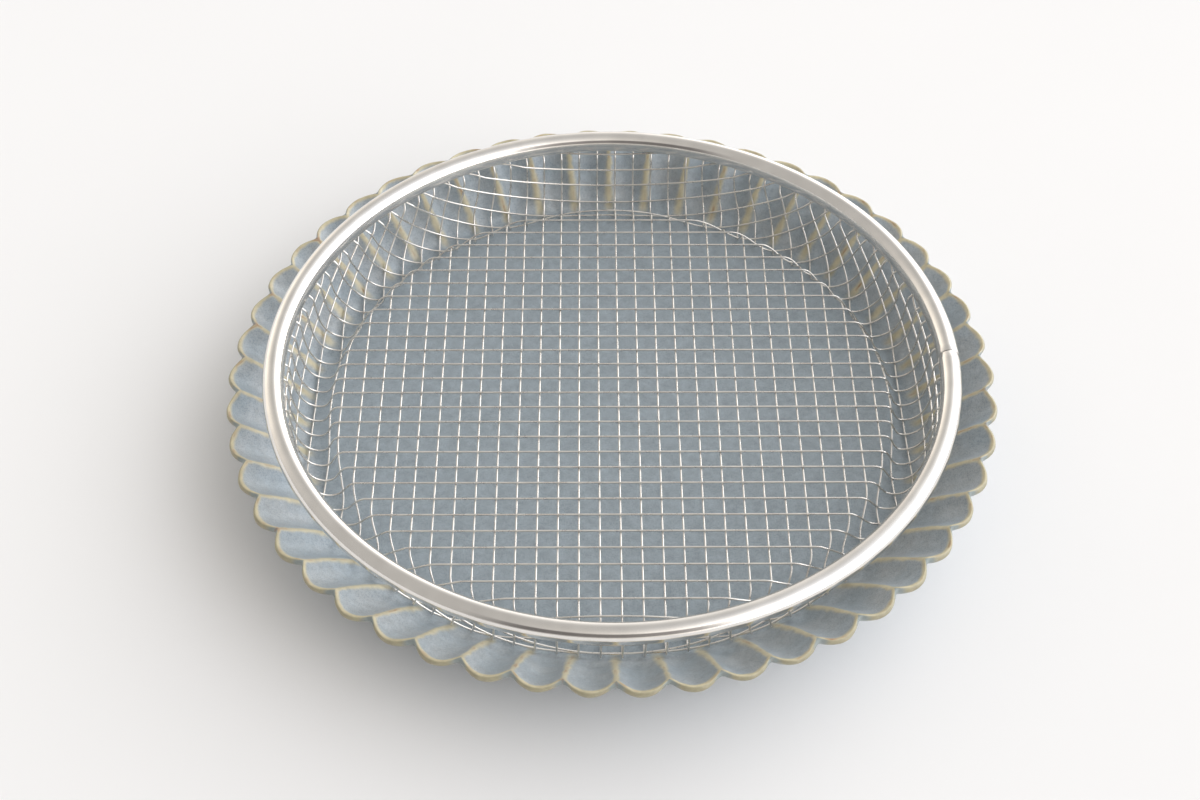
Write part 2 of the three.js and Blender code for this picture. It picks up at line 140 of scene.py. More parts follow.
class StrainerSettings(PropertyGroup):
    """Sizes and colours of the strainer, a square welded mesh that is pressed into a tray."""

    wire: length("Wire diameter", "Thickness of the wire", 0.63 * MM)
    pitch: length("Mesh pitch", "From wire to wire", 6.35 * MM)
    line_shift: length("Line shift", "From the middle to the nearest wire from front to back", 2.16 * MM)
    cross_shift: length("Cross shift", "From the middle to the nearest wire from left to right", 0.81 * MM)
    weld: FloatProperty(
        name="Weld", description="Share of its thickness by which a wire sinks into the one it crosses",
        default=0.1, subtype="FACTOR", min=0, max=0.5)
    floor_height: length("Mesh floor", "Middle of the mesh floor above the table", 16.6 * MM)
    foot_radius: length("Mesh foot", "Bottom of the groove that the strainer stands on", 94.3 * MM)
    foot_depth: length("Foot depth", "Mesh floor to the bottom of the groove", 6.5 * MM)
    drop_run: length("Drop run", "Across the slope from the floor to the groove", 6.7 * MM)
    wall_run: length("Wall run", "Across the wall, from the groove to its top", 8.6 * MM)
    wall_rise: length("Wall rise", "Groove to the top of the wall", 18.3 * MM)
    flare_run: length("Flare run", "Step out behind the rim's skirt", 1.95 * MM)
    flare_rise: length("Flare rise", "Height of that step", 2.9 * MM)
    edge_trim: length("Edge trim", "No wire runs along the rim closer than this to its slot", 1.9 * MM)
    wire_end_drop: length("Wire end", "Wires stop this far below the tube's centre", 0.4 * MM)
    tube: length("Rim tube", "Diameter of the rolled rim", 6.5 * MM)
    strip: length("Rim strip", "Thickness of the rolled strip", 0.45 * MM)
    skirt: length("Rim skirt", "The skirt ends this far below the tube's centre", 2.1 * MM)
    seam_gap: length("Seam gap", "Gap of the rim's butt seam", 0.3 * MM)
    core: length("Core wire", "Diameter of the ring inside the curl", core_high.z - core_low.z)
    rim_steel: colour("Rim steel", "Polished stainless strip", "#efece8")
    wire_steel: colour("Wire steel", "Bright drawn stainless wire", "#ece8e2")
    core_steel: colour("Core steel", "Bare drawn wire", "#b9b5af")


class StageSettings(PropertyGroup):
    """Floor, light and camera."""

    floor: colour("Floor", "Pale matt table top", "#f0f0f0")
    room: colour("Room", "Light that comes from all sides", "#c4c1bd")
    shade: colour("Shade", "Dark patch behind the camera", "#4a4648")
    lens: FloatProperty(name="Lens", description="Focal length on a 36 mm sensor", default=57.919)
    azimuth: FloatProperty(
        name="Azimuth", description="Camera's turn", default=math.radians(-0.5866), subtype="ANGLE")
    elevation: FloatProperty(
        name="Elevation", description="Camera's height", default=math.radians(47.349), subtype="ANGLE")
    roll: FloatProperty(name="Roll", description="Camera's tilt", default=math.radians(0.322), subtype="ANGLE")
    place: FloatVectorProperty(
        name="Camera place", description="Where the camera stands", subtype="TRANSLATION",
        default=(-8.11 * MM, -422.99 * MM, 473.31 * MM))


def add_node(tree, kind, inputs=None, **settings):
    """Adds a node with its settings. An input is a value, or the socket that feeds it. The inputs 1
    to 4 of a Map Range are the ends of the range it reads and of the range it gives."""
    node = tree.nodes.new(kind)
    for key, value in settings.items():
        setattr(node, key, value)
    for key, value in (inputs or {}).items():
        if isinstance(value, bpy.types.NodeSocket):
            tree.links.new(value, node.inputs[key])
        else:
            node.inputs[key].default_value = value
    return node


def new_material(name):
    material = bpy.data.materials.new(name)
    material.use_nodes = True
    return material, material.node_tree, material.node_tree.nodes["Principled BSDF"]


def polar_place(tree):
    """Sockets of the place on a piece: as a vector, its axes, and angle and radius round the upright axis."""
    place = add_node(tree, "ShaderNodeTexCoord").outputs["Object"]
    axes = add_node(tree, "ShaderNodeSeparateXYZ", {0: place}).outputs
    angle = add_node(tree, "ShaderNodeMath", {0: axes["Y"], 1: axes["X"]}, operation="ARCTAN2").outputs[0]
    flat = add_node(tree, "ShaderNodeVectorMath", {0: place, 1: (1, 1, 0)}, operation="MULTIPLY").outputs[0]
    radius = add_node(tree, "ShaderNodeVectorMath", {0: flat}, operation="LENGTH").outputs["Value"]
    return place, axes, angle, radius


def finish_piece(piece, material, node, body):
    """Gives a piece its material, parents it to its body and hides the CAD node that it stands for."""
    piece.data.materials.clear()
    piece.data.materials.append(material)
    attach(piece, body)
    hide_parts(node)


def begin_piece(name):
    """Starts an empty mesh in edit mode, with nothing else selected."""
    bpy.ops.object.select_all(action="DESELECT")
    bpy.ops.mesh.primitive_plane_add(size=MM, location=(0, 0, 0))
    piece = bpy.context.object
    piece.name = piece.data.name = name
    bpy.ops.object.mode_set(mode="EDIT")
    bpy.ops.mesh.delete(type="VERT")
    return piece


def select_points(piece, test):
    """Selects the points of the mesh in edit mode that pass a test of their place."""
    bpy.ops.mesh.select_mode(type="VERT")
    bpy.ops.mesh.select_all(action="DESELECT")
    mesh = bmesh.from_edit_mesh(piece.data)
    for point in mesh.verts:
        if test(point.co):
            point.select_set(True)
    mesh.select_flush(True)
    bmesh.update_edit_mesh(piece.data)


def apply_modifier(piece, kind, **settings):
    """Adds a modifier to the active piece and applies it."""
    modifier = piece.modifiers.new(kind.title(), kind)
    for key, value in settings.items():
        setattr(modifier, key, value)
    bpy.ops.object.modifier_apply(modifier=modifier.name)


def draw_chain(points):
    """In edit mode, one point that is extruded from place to place."""
    bpy.ops.mesh.select_all(action="DESELECT")
    bpy.ops.mesh.primitive_plane_add(size=MM, location=points[0])
    bpy.ops.mesh.merge(type="CENTER")
    for here, there in zip(points, points[1:]):
        move = Vector(there) - Vector(here)
        bpy.ops.mesh.extrude_vertices_move(TRANSFORM_OT_translate={"value": move})


def smoothstep(value, low, high):
    share = min(max((value - low) / (high - low), 0), 1)
    return share * share * (3 - 2 * share)


def plate_section(plate, across):
    """Section of the plate from its floor, over the lip, to its underside, as radius and height.
    Across is 0 in the middle of a petal and 1 on a ridge."""
    edge = plate.tip_radius - plate.notch_depth * across ** 2
    foot = plate.floor_top - plate.floor_thickness
    hollow = math.cos(across * math.pi / 2)

    def wall(share):
        below = plate.wall_cone * (1 - share) + (1 - plate.wall_cone) * (1 - share) ** plate.wall_cove
        rise = plate.wall_rise * (1 - below)
        depth = plate.flute_depth + (plate.flute_depth_at_lip - plate.flute_depth) * share ** 2
        dip = depth * smoothstep(share, 0, plate.flute_fade) * hollow
        return plate.floor_radius + (edge - plate.floor_radius) * share, plate.floor_top + rise - dip

    def under(share):
        radius, height = wall(share)
        thickness = plate.floor_thickness + (plate.lip_thickness - plate.floor_thickness) * share
        return radius, height - thickness

    crest = wall(1)[1]
    lip = plate.lip_thickness
    outer, inner = plate.foot_radius, plate.foot_radius - plate.foot_width
    section = [(radius, plate.floor_top) for radius in (FLOOR_DISC, 84 * MM, 91.5 * MM)]
    section += [(plate.floor_radius - 1.6 * MM, plate.floor_top)]
    section += [wall(share) for share in (0.02, 0.07, 0.14, 0.23, 0.33, 0.43, 0.53, 0.63, 0.73, 0.82, 0.89, 0.93)]
    # The lip is rounded: its edge lies below the crest, by shares of its thickness
    section += [
        (edge - 0.95 * MM, crest - 0.22 * lip), (edge - 0.45 * MM, crest - 0.26 * lip),
        (edge - 0.1 * MM, crest - 0.4 * lip), (edge, crest - 0.6 * lip),
        (edge - 0.2 * MM, crest - 0.82 * lip), (edge - 0.8 * MM, crest - 1.07 * lip),
    ]
    section += [under(share) for share in (0.88, 0.76, 0.62, 0.48, 0.34, 0.2, 0.08)]
    section += [(plate.floor_radius - 1.5 * MM, foot), (outer + 7 * MM, foot), (outer + 1.5 * MM, foot)]
    section += [(outer + 0.3 * MM, foot - 0.5 * MM), (outer, 1.6 * MM), (outer - 0.25 * MM, 0.35 * MM)]
    section += [(outer - 1 * MM, 0), (inner + 1 * MM, 0)]
    section += [(inner + 0.25 * MM, 0.35 * MM), (inner, 1.6 * MM), (inner - 0.3 * MM, foot - 0.5 * MM)]
    section += [(radius, foot) for radius in (inner - 1.5 * MM, FLOOR_DISC)]
    return section


def glaze_material(plate):
    """Stoneware, pressed and dipped in a satin glaze. It is blue-grey and mottled where it pools in
    the flutes, khaki where it runs thin on ridges and lip, and freckled with iron there."""
    material, tree, shader = new_material("glazed_stoneware_dipped")
    place, axes, angle, radius = polar_place(tree)

    # Runs of glaze about 3 mm long wander over the edge between thick and thin
    wander = add_node(
        tree, "ShaderNodeTexNoise", {"Vector": place, "Scale": 1 / (3 * MM), "Detail": 3}).outputs["Fac"]
    drift = add_node(tree, "ShaderNodeMath", {0: wander, 1: 0.5}, operation="SUBTRACT").outputs[0]

    # The top of the plate: above a slanting line inside the wall, and down to the lower edge of its lip
    line = add_node(
        tree, "ShaderNodeMath", {0: radius, 1: 0.84, 2: -74.7 * MM}, operation="MULTIPLY_ADD").outputs[0]
    line = add_node(tree, "ShaderNodeMath", {0: line, 1: 24.4 * MM}, operation="MINIMUM").outputs[0]
    over = add_node(tree, "ShaderNodeMath", {0: axes["Z"], 1: line}, operation="SUBTRACT").outputs[0]
    on_top = add_node(tree, "ShaderNodeMapRange", {0: over, 1: -0.4 * MM, 2: 0.3 * MM}).outputs[0]

    # Place across a petal: 0 on a ridge, 1 in the middle. The ridges are broad low on the wall, fine at the lip
    turns = add_node(
        tree, "ShaderNodeMath", {0: angle, 1: plate.petals / math.pi, 2: plate.petals / 2},
        operation="MULTIPLY_ADD").outputs[0]
    across = add_node(tree, "ShaderNodeMath", {0: turns, 1: 1.0}, operation="PINGPONG").outputs[0]
    off_ridge = add_node(tree, "ShaderNodeMath", {0: across, 1: radius}, operation="MULTIPLY").outputs[0]
    off_ridge = add_node(
        tree, "ShaderNodeMath", {0: off_ridge, 1: math.pi / plate.petals}, operation="MULTIPLY").outputs[0]
    strayed = add_node(
        tree, "ShaderNodeMath", {0: drift, 1: 1.7 * MM, 2: off_ridge}, operation="MULTIPLY_ADD").outputs[0]
    width = add_node(
        tree, "ShaderNodeMapRange", {0: radius, 1: 101 * MM, 2: 113 * MM, 3: 2.3 * MM, 4: 1.25 * MM}).outputs[0]
    ridge = add_node(
        tree, "ShaderNodeMapRange", {0: strayed, 1: width, 2: 0.25 * MM, 3: 0, 4: 0.92},
        interpolation_type="SMOOTHSTEP").outputs[0]
    on_wall = add_node(
        tree, "ShaderNodeMapRange", {0: radius, 1: plate.floor_radius - 3 * MM, 2: plate.floor_radius + 2 * MM},
        interpolation_type="SMOOTHSTEP").outputs[0]
    ridge = add_node(tree, "ShaderNodeMath", {0: ridge, 1: on_wall}, operation="MULTIPLY").outputs[0]

    # Distance in from the scalloped edge
    off_middle = add_node(tree, "ShaderNodeMath", {0: 1.0, 1: across}, operation="SUBTRACT").outputs[0]
    squared = add_node(tree, "ShaderNodeMath", {0: off_middle, 1: 2.0}, operation="POWER").outputs[0]
    edge = add_node(
        tree, "ShaderNodeMath", {0: squared, 1: -plate.notch_depth, 2: plate.tip_radius},
        operation="MULTIPLY_ADD").outputs[0]
    inset = add_node(tree, "ShaderNodeMath", {0: edge, 1: radius}, operation="SUBTRACT").outputs[0]
    frayed = add_node(
        tree, "ShaderNodeMath", {0: drift, 1: 1.2 * MM, 2: inset}, operation="MULTIPLY_ADD").outputs[0]
    lip = add_node(
        tree, "ShaderNodeMapRange", {0: frayed, 1: 2.3 * MM, 2: 1.3 * MM, 3: 0, 4: 1},
        interpolation_type="SMOOTHSTEP").outputs[0]
    thin = add_node(tree, "ShaderNodeMath", {0: ridge, 1: lip}, operation="MAXIMUM").outputs[0]
    thin = add_node(tree, "ShaderNodeMath", {0: thin, 1: on_top}, operation="MULTIPLY").outputs[0]

    # Patches of 15 mm and clouds of 2.5 mm in the glaze, and grains of 0.45 mm
    patches = add_node(
        tree, "ShaderNodeTexNoise", {"Vector": place, "Scale": 1 / (15 * MM), "Detail": 3}).outputs["Fac"]
    patches = add_node(tree, "ShaderNodeMapRange", {0: patches, 1: 0.38, 2: 0.62}).outputs[0]
    clouds = add_node(
        tree, "ShaderNodeTexNoise",
        {"Vector": place, "Scale": 1 / (2.5 * MM), "Detail": 5, "Roughness": 0.65}).outputs["Fac"]
    grains = add_node(
        tree, "ShaderNodeTexNoise", {"Vector": place, "Scale": 1 / (0.45 * MM), "Detail": 2}).outputs["Fac"]
    pale = add_node(tree, "ShaderNodeMath", {0: patches, 1: on_wall}, operation="MULTIPLY").outputs[0]
    base = add_node(
        tree, "ShaderNodeMix", {"Factor": pale, "A": plate.glaze, "B": plate.glaze_thin},
        data_type="RGBA").outputs["Result"]
    specks = add_node(tree, "ShaderNodeMapRange", {0: grains, 1: 0.45, 2: 0.65, 3: 0, 4: 0.55}).outputs[0]
    base = add_node(
        tree, "ShaderNodeMix", {"Factor": specks, "A": base, "B": plate.speckle}, data_type="RGBA").outputs["Result"]
    base = add_node(
        tree, "ShaderNodeMix", {"Factor": thin, "A": base, "B": plate.glaze_break},
        data_type="RGBA").outputs["Result"]

    # The lip's outer face is darker, and in the notches it takes the blue-grey of the glaze, darkened by painted
    # shade
    outer = add_node(
        tree, "ShaderNodeMapRange", {0: inset, 1: 0.95 * MM, 2: 0.35 * MM, 3: 0, 4: 0.9},
        interpolation_type="SMOOTHSTEP").outputs[0]
    outer = add_node(tree, "ShaderNodeMath", {0: outer, 1: on_top}, operation="MULTIPLY").outputs[0]
    # Where the painted shade lies on the lip: in the notches, near the ridges
    in_notch = add_node(
        tree, "ShaderNodeMapRange", {0: strayed, 1: 3.2 * MM, 2: 1.2 * MM, 3: 0, 4: 1},
        interpolation_type="SMOOTHSTEP").outputs[0]
    face = add_node(
        tree, "ShaderNodeMix", {"Factor": in_notch, "A": plate.lip_edge, "B": plate.notch_glaze_and_shade},
        data_type="RGBA").outputs["Result"]
    base = add_node(
        tree, "ShaderNodeMix", {"Factor": outer, "A": base, "B": face}, data_type="RGBA").outputs["Result"]
    clouded = add_node(tree, "ShaderNodeMapRange", {0: clouds, 1: 0.3, 2: 0.7, 3: 0.84, 4: 1.14}).outputs[0]
    base = add_node(
        tree, "ShaderNodeMix", {"Factor": 1.0, "A": base, "B": clouded}, data_type="RGBA",
        blend_type="MULTIPLY").outputs["Result"]

    # Iron bleeds through in strokes some 5 mm long, along the crest of the lip and of the ridges
    off_crest = add_node(tree, "ShaderNodeMath", {0: inset, 1: 1.1 * MM}, operation="SUBTRACT").outputs[0]
    off_crest = add_node(tree, "ShaderNodeMath", {0: off_crest}, operation="ABSOLUTE").outputs[0]
    off_line = add_node(tree, "ShaderNodeMath", {0: off_crest, 1: off_ridge}, operation="MINIMUM").outputs[0]
    off_line = add_node(
        tree, "ShaderNodeMath", {0: drift, 1: 0.6 * MM, 2: off_line}, operation="MULTIPLY_ADD").outputs[0]
    on_line = add_node(
        tree, "ShaderNodeMapRange", {0: off_line, 1: 0.6 * MM, 2: 0.2 * MM, 3: 0, 4: 1},
        interpolation_type="SMOOTHSTEP").outputs[0]
    strokes = add_node(
        tree, "ShaderNodeTexNoise", {"Vector": place, "Scale": 1 / (5 * MM), "Detail": 3}).outputs["Fac"]
    strokes = add_node(tree, "ShaderNodeMapRange", {0: strokes, 1: 0.53, 2: 0.74, 3: 0, 4: 0.8}).outputs[0]
    rust = add_node(tree, "ShaderNodeMath", {0: on_line, 1: strokes}, operation="MULTIPLY").outputs[0]
    rust = add_node(tree, "ShaderNodeMath", {0: rust, 1: thin}, operation="MULTIPLY").outputs[0]
    base = add_node(
        tree, "ShaderNodeMix", {"Factor": rust, "A": base, "B": plate.iron}, data_type="RGBA").outputs["Result"]

    # The foot stands on bare clay
    bare = add_node(tree, "ShaderNodeMapRange", {0: axes["Z"], 1: 0.8 * MM, 2: 0.4 * MM, 3: 0, 4: 1}).outputs[0]
    base = add_node(
        tree, "ShaderNodeMix", {"Factor": bare, "A": base, "B": plate.clay}, data_type="RGBA").outputs["Result"]
    tree.links.new(base, shader.inputs["Base Color"])

    # The clouds show in the gloss and in the relief too
    sheen = add_node(tree, "ShaderNodeMapRange", {0: clouds, 1: 0.3, 2: 0.7, 3: 0.3, 4: 0.46}).outputs[0]
    gloss = add_node(tree, "ShaderNodeMix", {"Factor": bare, "A": sheen, "B": 0.9}).outputs["Result"]
    tree.links.new(gloss, shader.inputs["Roughness"])
    bump = add_node(tree, "ShaderNodeBump", {"Height": clouds, "Strength": 0.35, "Distance": 0.12 * MM}).outputs[0]
    tree.links.new(bump, shader.inputs["Normal"])
    return material


class STRAINERPLATE_OT_plate(Operator):
    """Model the fluted stoneware plate: half a petal is lofted, mirrored and spun round the axis"""

    bl_idname = "strainer_plate.plate"
    bl_label = "Stoneware Plate"

    def execute(self, context):
        plate = context.scene.plate_settings
        piece = begin_piece("plate_glazed")
        half = math.pi / plate.petals
        columns = [strip / PETAL_STRIPS for strip in range(PETAL_STRIPS + 1)]
        for across in columns:
            turn = Matrix.Rotation(across * half, 3, "Z")
            draw_chain([turn @ Vector((r, 0, z)) for r, z in plate_section(plate, across)])
        for inner, outer in zip(columns, columns[1:]):
            pair = (inner * half, outer * half)
            select_points(piece, lambda co: any(abs(math.atan2(co.y, co.x) - a) < half / 20 for a in pair))
            bpy.ops.mesh.bridge_edge_loops()
        bpy.ops.object.mode_set(mode="OBJECT")
        apply_modifier(piece, "MIRROR", use_axis=(False, True, False), merge_threshold=0.01 * MM)
        bpy.ops.object.mode_set(mode="EDIT")
        bpy.ops.mesh.select_all(action="SELECT")
        # A ridge lies to the front. Without a window, rotate turns the other way
        bpy.ops.transform.rotate(value=math.pi / 2 + half, orient_axis="Z", center_override=(0, 0, 0))
        copies = plate.petals - 1
        bpy.ops.mesh.spin(
            steps=copies, dupli=True, angle=2 * half * copies, center=(0, 0, 0), axis=(0, 0, 1))
        bpy.ops.mesh.select_all(action="SELECT")
        bpy.ops.mesh.remove_doubles(threshold=0.005 * MM)
        bpy.ops.object.mode_set(mode="OBJECT")
        apply_modifier(piece, "SUBSURF", levels=1, render_levels=1)

        # The floor and its underside are closed only now: a pole of 400 edges is slow to subdivide
        bpy.ops.object.mode_set(mode="EDIT")
        for top in (True, False):
            select_points(
                piece, lambda co: math.hypot(co.x, co.y) < FLOOR_DISC + 0.1 * MM
                and (co.z > plate.floor_top - MM) == top)
            bpy.ops.mesh.edge_face_add()
        bpy.ops.mesh.select_all(action="SELECT")
        bpy.ops.mesh.normals_make_consistent(inside=False)
        bpy.ops.object.mode_set(mode="OBJECT")

        # Hand work leaves the wall and lip a little uneven; the floor stays flat under the strainer
        formed = piece.vertex_groups.new(name="hand_formed")
        for point in piece.data.vertices:
            reach = math.hypot(point.co.x, point.co.y) - plate.floor_radius
            formed.add([point.index], smoothstep(reach, 6 * MM, 16 * MM), "REPLACE")
        waves = bpy.data.textures.new("hand_formed_waves", "CLOUDS")
        waves.noise_scale = 9 * MM
        apply_modifier(
            piece, "DISPLACE", texture=waves, texture_coords="LOCAL", strength=plate.unevenness,
            vertex_group=formed.name)
        bpy.ops.object.shade_smooth()
        finish_piece(piece, glaze_material(plate), "ceramic_plate", "plate")
        return {"FINISHED"}


def rim_material(strainer):
    """Stainless strip, rolled and polished: it mirrors the room, a little smeared along the strip by
    fine polishing lines."""
    material, tree, shader = new_material("stainless_strip_polished")
    place, axes, angle, radius = polar_place(tree)
    # Polishing lines 0.15 mm apart that run for some 20 mm round the rim
    around = add_node(tree, "ShaderNodeMath", {0: angle, 1: 0.8 * MM}, operation="MULTIPLY").outputs[0]
    strip = add_node(tree, "ShaderNodeCombineXYZ", {"X": radius, "Y": axes["Z"], "Z": around}).outputs[0]
    lines = add_node(
        tree, "ShaderNodeTexNoise", {"Vector": strip, "Scale": 1 / (0.15 * MM), "Detail": 2}).outputs["Fac"]
    waves = add_node(tree, "ShaderNodeTexNoise", {"Vector": place, "Scale": 1 / (7 * MM), "Detail": 1}).outputs["Fac"]
    shader.inputs["Metallic"].default_value = 1
    tone = add_node(tree, "ShaderNodeMapRange", {0: waves, 1: 0.3, 2: 0.7, 3: 0.92, 4: 1.0}).outputs[0]
    base = add_node(
        tree, "ShaderNodeMix", {"Factor": 1.0, "A": strainer.rim_steel, "B": tone}, data_type="RGBA",
        blend_type="MULTIPLY").outputs["Result"]
    tree.links.new(base, shader.inputs["Base Color"])
    rough = add_node(tree, "ShaderNodeMapRange", {0: lines, 1: 0.3, 2: 0.7, 3: 0.09, 4: 0.2}).outputs[0]
    tree.links.new(rough, shader.inputs["Roughness"])
    dents = add_node(tree, "ShaderNodeBump", {"Height": waves, "Strength": 0.25, "Distance": 0.15 * MM}).outputs[0]
    bump = add_node(
        tree, "ShaderNodeBump",
        {"Height": lines, "Strength": 0.06, "Distance": 0.02 * MM, "Normal": dents}).outputs[0]
    tree.links.new(bump, shader.inputs["Normal"])
    return material


def wire_material(name, base_colour, low, high):
    """Drawn stainless wire: bright, with a softer gleam than the rim, and duller stretches where the
    die or the press has rubbed it."""
    material, tree, shader = new_material(name)
    place = add_node(tree, "ShaderNodeTexCoord").outputs["Object"]
    rubs = add_node(tree, "ShaderNodeTexNoise", {"Vector": place, "Scale": 1 / (4 * MM), "Detail": 3}).outputs["Fac"]
    grain = add_node(
        tree, "ShaderNodeTexNoise", {"Vector": place, "Scale": 1 / (0.3 * MM), "Detail": 2}).outputs["Fac"]
    shader.inputs["Metallic"].default_value = 1
    tone = add_node(tree, "ShaderNodeMapRange", {0: rubs, 1: 0.3, 2: 0.7, 3: 0.86, 4: 1.0}).outputs[0]
    base = add_node(
        tree, "ShaderNodeMix", {"Factor": 1.0, "A": base_colour, "B": tone}, data_type="RGBA",
        blend_type="MULTIPLY").outputs["Result"]
    tree.links.new(base, shader.inputs["Base Color"])
    rough = add_node(tree, "ShaderNodeMapRange", {0: rubs, 1: 0.3, 2: 0.7, 3: low, 4: high}).outputs[0]
    tree.links.new(rough, shader.inputs["Roughness"])
    bump = add_node(tree, "ShaderNodeBump", {"Height": grain, "Strength": 0.08, "Distance": 0.03 * MM}).outputs[0]
    tree.links.new(bump, shader.inputs["Normal"])
    return material


class STRAINERPLATE_OT_rim(Operator):
    """Model the rolled rim: a strip's section is spun round the axis up to its butt seam"""

    bl_idname = "strainer_plate.rim"
    bl_label = "Rolled Rim"

    def execute(self, context):
        strainer = context.scene.strainer_settings
        tube = strainer.tube / 2
        reach = rim_high.x - tube
        height = rim_high.z - tube
        bpy.ops.object.select_all(action="DESELECT")
        bpy.ops.mesh.primitive_circle_add(
            vertices=72, radius=tube, location=(reach, 0, height), rotation=(math.pi / 2, 0, 0))
        piece = context.object
        piece.name = piece.data.name = "rim_rolled"
        bpy.ops.object.transform_apply(location=True, rotation=True, scale=True)
        bpy.ops.object.mode_set(mode="EDIT")

        # The curl is open below and inside, where the mesh goes in; the skirt hangs inside the mesh
        def section_angle(co):
            return math.degrees(math.atan2(co.z - height, co.x - reach)) % 360

        first, last = CURL_OPENING
        select_points(piece, lambda co: first < section_angle(co) < last)
        bpy.ops.mesh.delete(type="VERT")
        select_points(piece, lambda co: abs(section_angle(co) - 180) < 1)
        for move in SKIRT_MOVES:
            part = Vector(move) * strainer.skirt / SKIRT_LENGTH
            bpy.ops.mesh.extrude_vertices_move(TRANSFORM_OT_translate={"value": part})
        bpy.ops.mesh.select_all(action="SELECT")
        gap = strainer.seam_gap / reach
        bpy.ops.mesh.spin(steps=260, angle=2 * math.pi - gap, center=(0, 0, 0), axis=(0, 0, 1))
        bpy.ops.mesh.select_all(action="SELECT")
        bpy.ops.mesh.normals_make_consistent(inside=False)
        bpy.ops.object.mode_set(mode="OBJECT")
        top = max(piece.data.polygons, key=lambda face: face.center.z)
        if top.normal.z < 0:
            bpy.ops.object.mode_set(mode="EDIT")
            bpy.ops.mesh.flip_normals()
            bpy.ops.object.mode_set(mode="OBJECT")
        apply_modifier(piece, "SOLIDIFY", thickness=strainer.strip, offset=-1)
        apply_modifier(
            piece, "BEVEL", width=0.12 * MM, segments=2, limit_method="ANGLE", angle_limit=math.radians(55))
        bpy.ops.object.shade_smooth_by_angle(angle=math.radians(40))
        finish_piece(piece, rim_material(strainer), "rim_band", "strainer")
        return {"FINISHED"}


class STRAINERPLATE_OT_core(Operator):
    """Model the stiffening ring inside the rim's curl, with the swelling of its butt weld"""

    bl_idname = "strainer_plate.core"
    bl_label = "Core Ring"

    def execute(self, context):
        strainer = context.scene.strainer_settings
        height = (core_low.z + core_high.z) / 2
        reach = core_high.x - strainer.core / 2
        bpy.ops.object.select_all(action="DESELECT")
        bpy.ops.mesh.primitive_torus_add(
            major_radius=reach, minor_radius=strainer.core / 2, major_segments=180, minor_segments=14,
            location=(0, 0, height))
        piece = context.object
        piece.name = piece.data.name = "rim_core"
        bpy.ops.object.transform_apply(location=True, rotation=True, scale=True)
        bpy.ops.object.mode_set(mode="EDIT")
        select_points(piece, lambda co: co.x < 0 and abs(co.y) < 2.5 * MM)
        bpy.ops.transform.resize(value=(1, 1, 1.1), center_override=(-reach, 0, height))
        bpy.ops.object.mode_set(mode="OBJECT")
        bpy.ops.object.shade_smooth()
        material = wire_material("stainless_wire_welded", strainer.core_steel, 0.3, 0.45)
        finish_piece(piece, material, "rim_core_ring", "strainer")
        return {"FINISHED"}


def cubic(a, b, c, d, count):
    """Points of a Bezier curve, without its first."""
    t = np.linspace(0, 1, count + 1)[1:, None]
    return (1 - t) ** 3 * a + 3 * (1 - t) ** 2 * t * b + 3 * (1 - t) * t * t * c + t ** 3 * d


